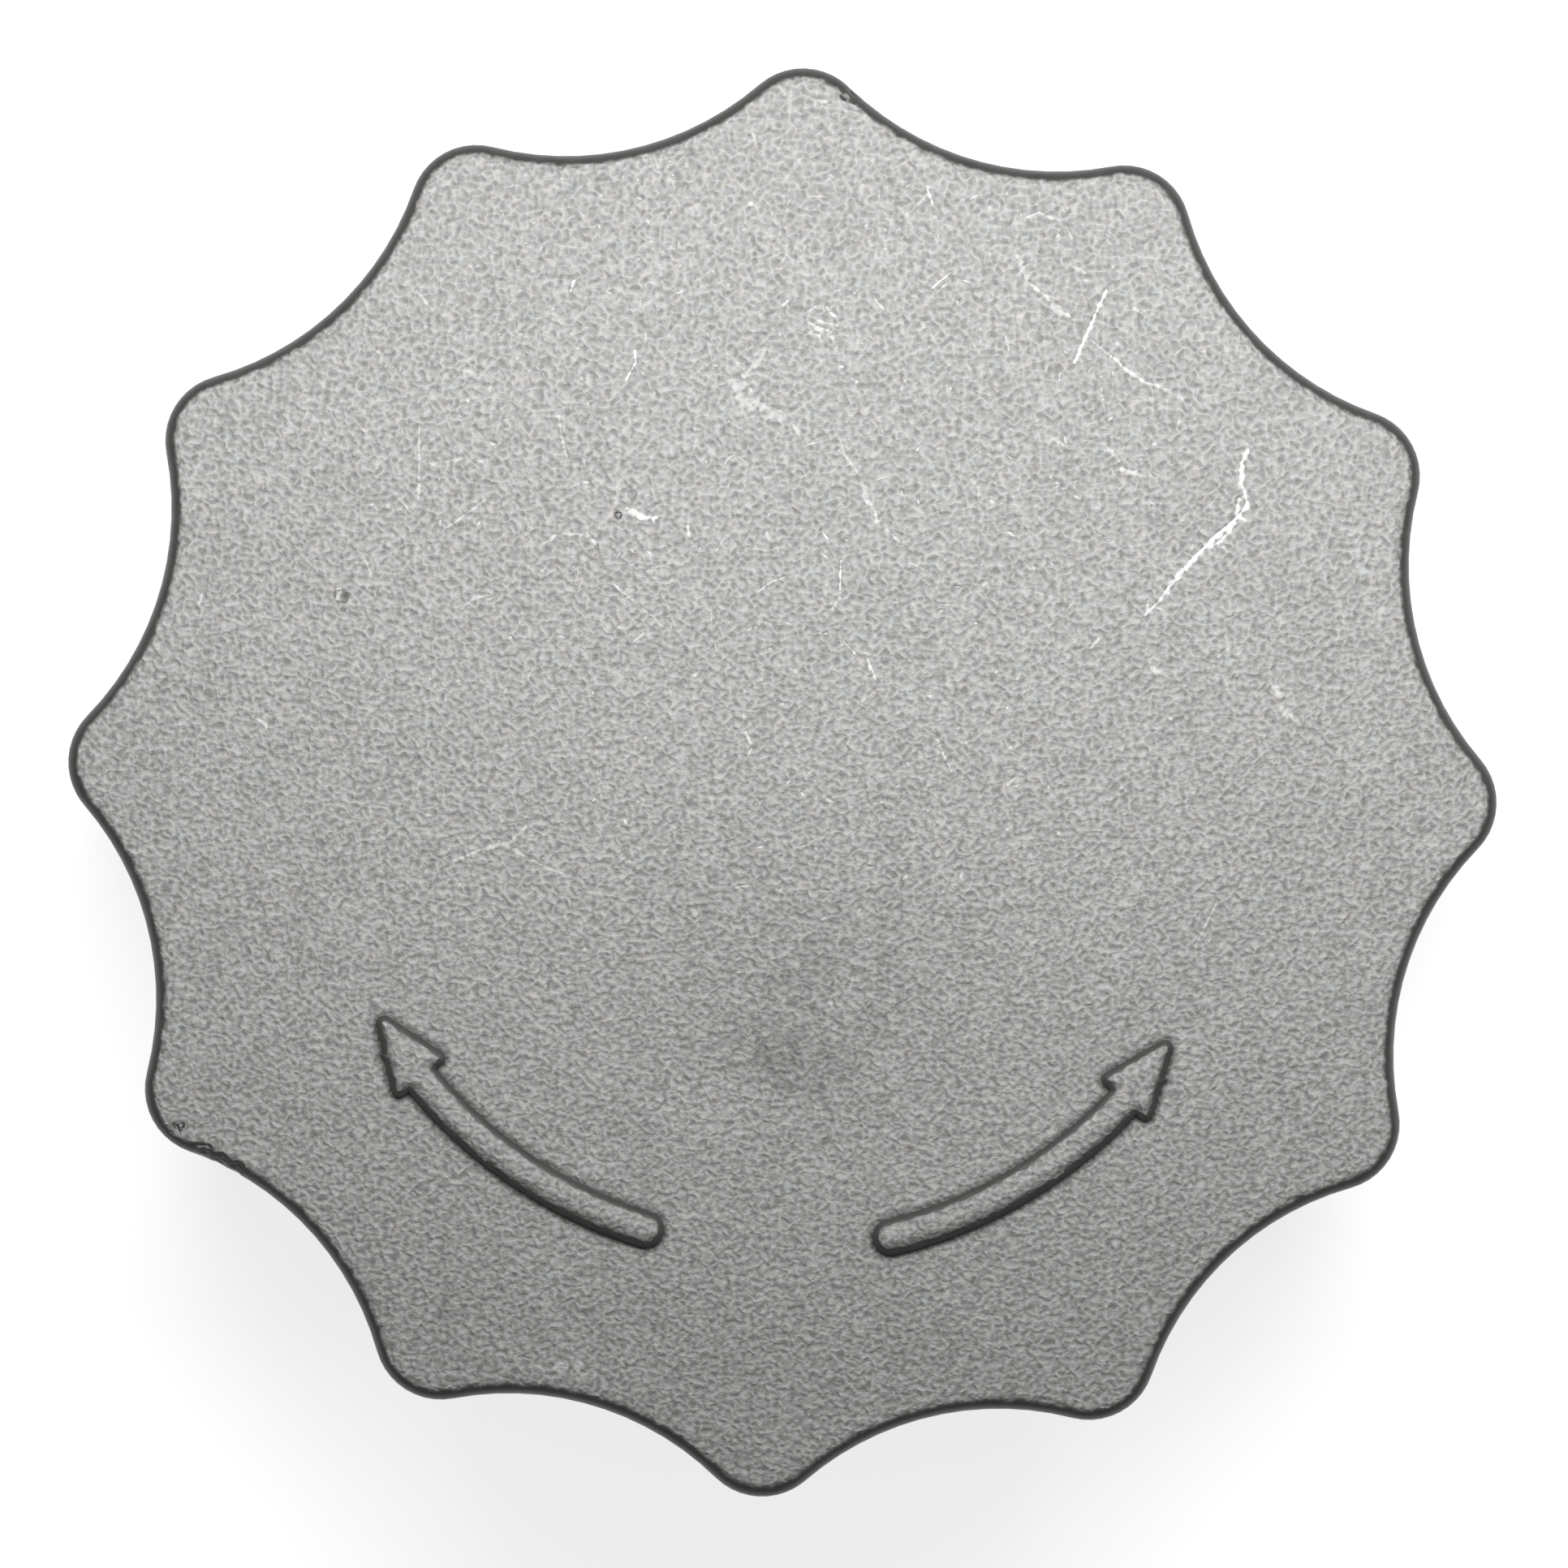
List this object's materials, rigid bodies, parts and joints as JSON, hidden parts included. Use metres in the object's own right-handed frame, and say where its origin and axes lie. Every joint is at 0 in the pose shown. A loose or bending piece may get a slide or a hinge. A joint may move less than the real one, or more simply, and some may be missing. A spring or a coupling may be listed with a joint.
{
  "type": "oil filler cap",
  "caption": "Bayonet oil filler cap: a scalloped round grip with raised turning arrows, a hollow spigot with locking lugs below it, and a rubber sealing ring.",
  "frame": {"origin": "on the cap's axis, in the plane of the sealing ring's lower face, where it meets the filler neck", "axes": "+Z along the axis, out of the grip's face; -Y towards the lobe between the two raised arrows; the locking lugs lie on +X and -X"},
  "size_m": [0.0786, 0.0786, 0.0226],
  "materials": {
    "moulded_nylon": "matte",
    "nitrile_rubber": "matte"
  },
  "bodies": {
    "root": {"cap_body": "moulded_nylon", "seal_ring": "nitrile_rubber"}
  },
  "joints": []
}
